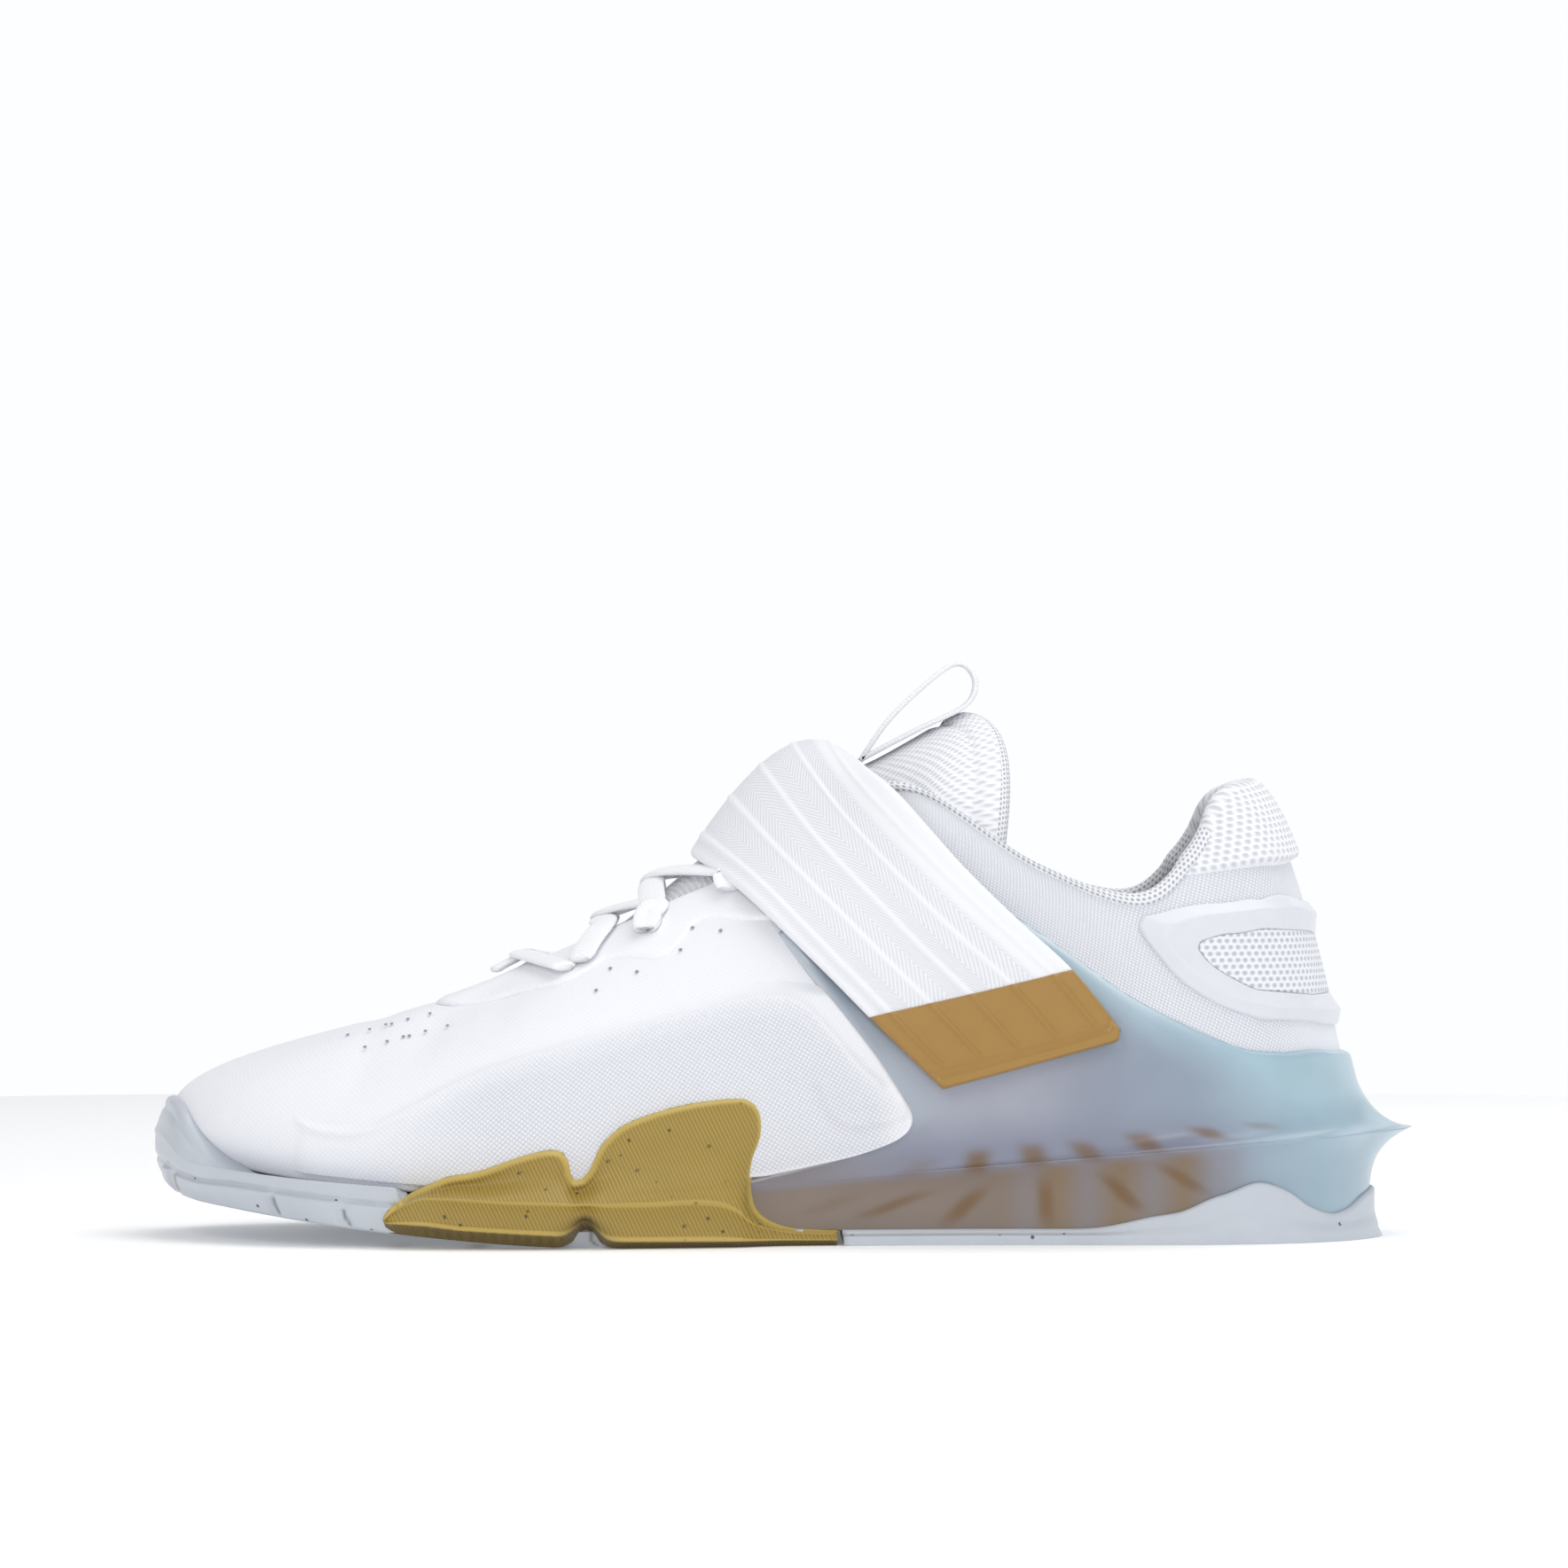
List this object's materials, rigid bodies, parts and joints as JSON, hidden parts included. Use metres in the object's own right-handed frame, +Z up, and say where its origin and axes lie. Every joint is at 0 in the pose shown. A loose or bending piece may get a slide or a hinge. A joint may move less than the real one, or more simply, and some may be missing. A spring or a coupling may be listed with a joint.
{
  "type": "weightlifting shoe",
  "caption": "Low weightlifting shoe with a raised rigid heel wedge, instep strap, hollow textile upper, padded tongue and flat rubber outsole; stands empty on its sole.",
  "frame": {"origin": "on the plane that the sole stands on, in the middle plane of the last and halfway along it", "axes": "+Z up, toe toward -X, heel toward +X, outer side of the foot toward -Y"},
  "size_m": [0.3, 0.1122, 0.1373],
  "materials": {
    "woven_upper": "matte fine woven textile",
    "insole_foam": "matte brushed textile on foam",
    "heel_wedge": "frosted translucent moulded plastic, glossy",
    "grey_rubber": "satin rubber",
    "gold_rubber": "satin rubber with fine ribs",
    "tongue_knit": "matte knit mesh",
    "clear_clip": "frosted translucent moulded plastic, glossy",
    "smooth_overlay": "satin bonded film",
    "moulded_overlay": "smooth satin moulding",
    "waffle_knit": "matte waffle knit on padding",
    "piping_knit": "matte dotted knit",
    "webbing": "matte herringbone webbing",
    "gold_moulding": "satin moulding with raised lines",
    "tape": "matte woven tape",
    "lace_cord": "matte flat woven cord"
  },
  "bodies": {
    "root": {"upper": "woven_upper", "insole": "insole_foam", "midsole": "heel_wedge", "outsole_front": "grey_rubber", "outrigger": "gold_rubber", "outsole_heel": "grey_rubber", "tongue": "tongue_knit", "heel_clip": "clear_clip", "eyestay": "smooth_overlay", "heel_frame": "moulded_overlay", "heel_tab": "waffle_knit", "collar_binding_outer": "piping_knit", "collar_binding_inner": "piping_knit", "strap": "webbing", "strap_end": "gold_moulding", "pull_loop": "tape", "laces": "lace_cord"}
  },
  "joints": []
}
